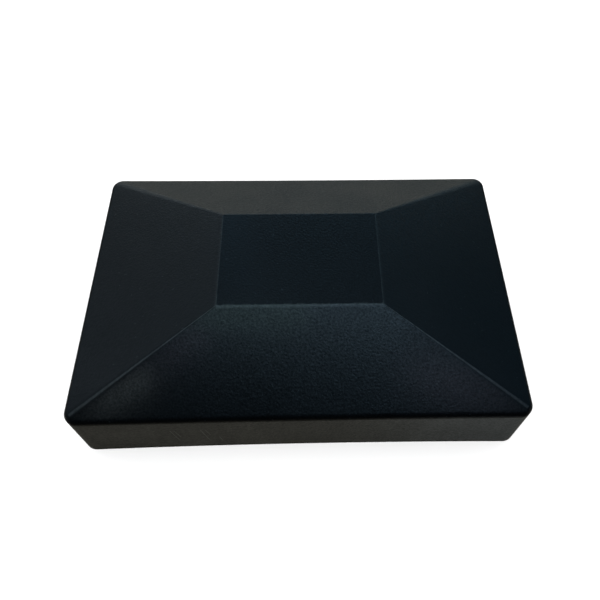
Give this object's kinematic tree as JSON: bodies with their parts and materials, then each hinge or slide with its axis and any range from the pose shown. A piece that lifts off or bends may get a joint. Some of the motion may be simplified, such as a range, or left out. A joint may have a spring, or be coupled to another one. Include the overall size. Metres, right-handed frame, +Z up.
{
  "type": "fence post cap",
  "caption": "Black rectangular fence post cap with a flat-topped hip roof, a skirt that fits over the post, and side fixing screws with sealing washers.",
  "frame": {"origin": "centre of the open mouth, in the plane of the skirt's bottom edge", "axes": "+X along the cap's long side, +Y along its short side, +Z up towards the flat top"},
  "size_m": [0.1656, 0.107, 0.044],
  "materials": {
    "cap_plastic": "black, fine spark-eroded grain, satin",
    "screw_steel": "bright stainless",
    "washer_steel": "pressed stainless, lightly brushed",
    "seal_rubber": "matte black"
  },
  "bodies": {
    "cap": {"cap_shell": "cap_plastic"},
    "left_washer": {"cup_washer_left": "washer_steel", "seal_ring_left": "seal_rubber"},
    "left_screw": {"fixing_screw_left": "screw_steel"},
    "right_washer": {"cup_washer_right": "washer_steel", "seal_ring_right": "seal_rubber"},
    "right_screw": {"fixing_screw_right": "screw_steel"}
  },
  "joints": [
    {"name": "left_screw_travel", "type": "slide", "parent": "cap", "child": "left_washer", "axis": [-1, 0, 0], "range_m": [0, 0.012]},
    {"name": "left_screw_turn", "type": "hinge", "parent": "left_washer", "child": "left_screw", "pos_m": [-0.0785, 0, 0.01], "axis": [-1, 0, 0], "range_deg": [0, 3090]},
    {"name": "right_screw_travel", "type": "slide", "parent": "cap", "child": "right_washer", "axis": [1, 0, 0], "range_m": [0, 0.012]},
    {"name": "right_screw_turn", "type": "hinge", "parent": "right_washer", "child": "right_screw", "pos_m": [0.0785, 0, 0.01], "axis": [1, 0, 0], "range_deg": [0, 3090]}
  ],
  "couplings": [
    {"joint": "left_screw_turn", "follows": "left_screw_travel", "rad_per_m": 4488},
    {"joint": "right_screw_turn", "follows": "right_screw_travel", "rad_per_m": 4488}
  ]
}
